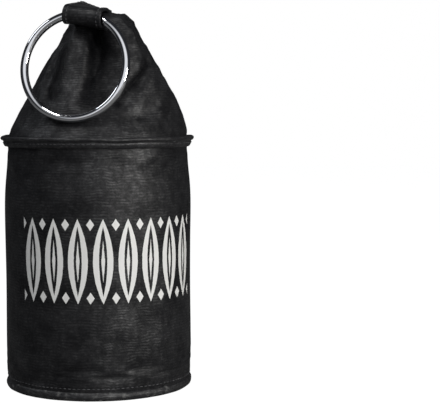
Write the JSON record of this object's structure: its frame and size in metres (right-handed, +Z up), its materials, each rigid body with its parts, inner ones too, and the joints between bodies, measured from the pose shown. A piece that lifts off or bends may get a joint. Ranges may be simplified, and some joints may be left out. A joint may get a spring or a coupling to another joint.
{
  "type": "weighted fabric door stop",
  "caption": "Round filled twill bag with a gathered crown, standing seam welts and a pull ring that swings in a strap loop, to hold a door open by its weight.",
  "frame": {"origin": "middle of the base, on the surface it stands on", "axes": "+Z up along the bag, -Y towards the front, where the ring hangs, +X to the right seen from the front"},
  "size_m": [0.123, 0.123, 0.2437],
  "materials": {
    "twill": "black cotton twill, matt, with topstitched seams",
    "chromed_wire": "bright polished chrome"
  },
  "bodies": {
    "bag": {"base_panel": "twill", "base_welt": "twill", "filled_sleeve": "twill", "rim_welt": "twill", "crown": "twill", "ring_strap": "twill"},
    "ring": {"pull_ring": "chromed_wire"}
  },
  "joints": [
    {"name": "ring_swing", "type": "hinge", "parent": "bag", "child": "ring", "pos_m": [-0.00771, -0.03796, 0.23275], "axis": [-0.9266, 0.3557, 0.1219], "range_deg": [0, 250]}
  ]
}
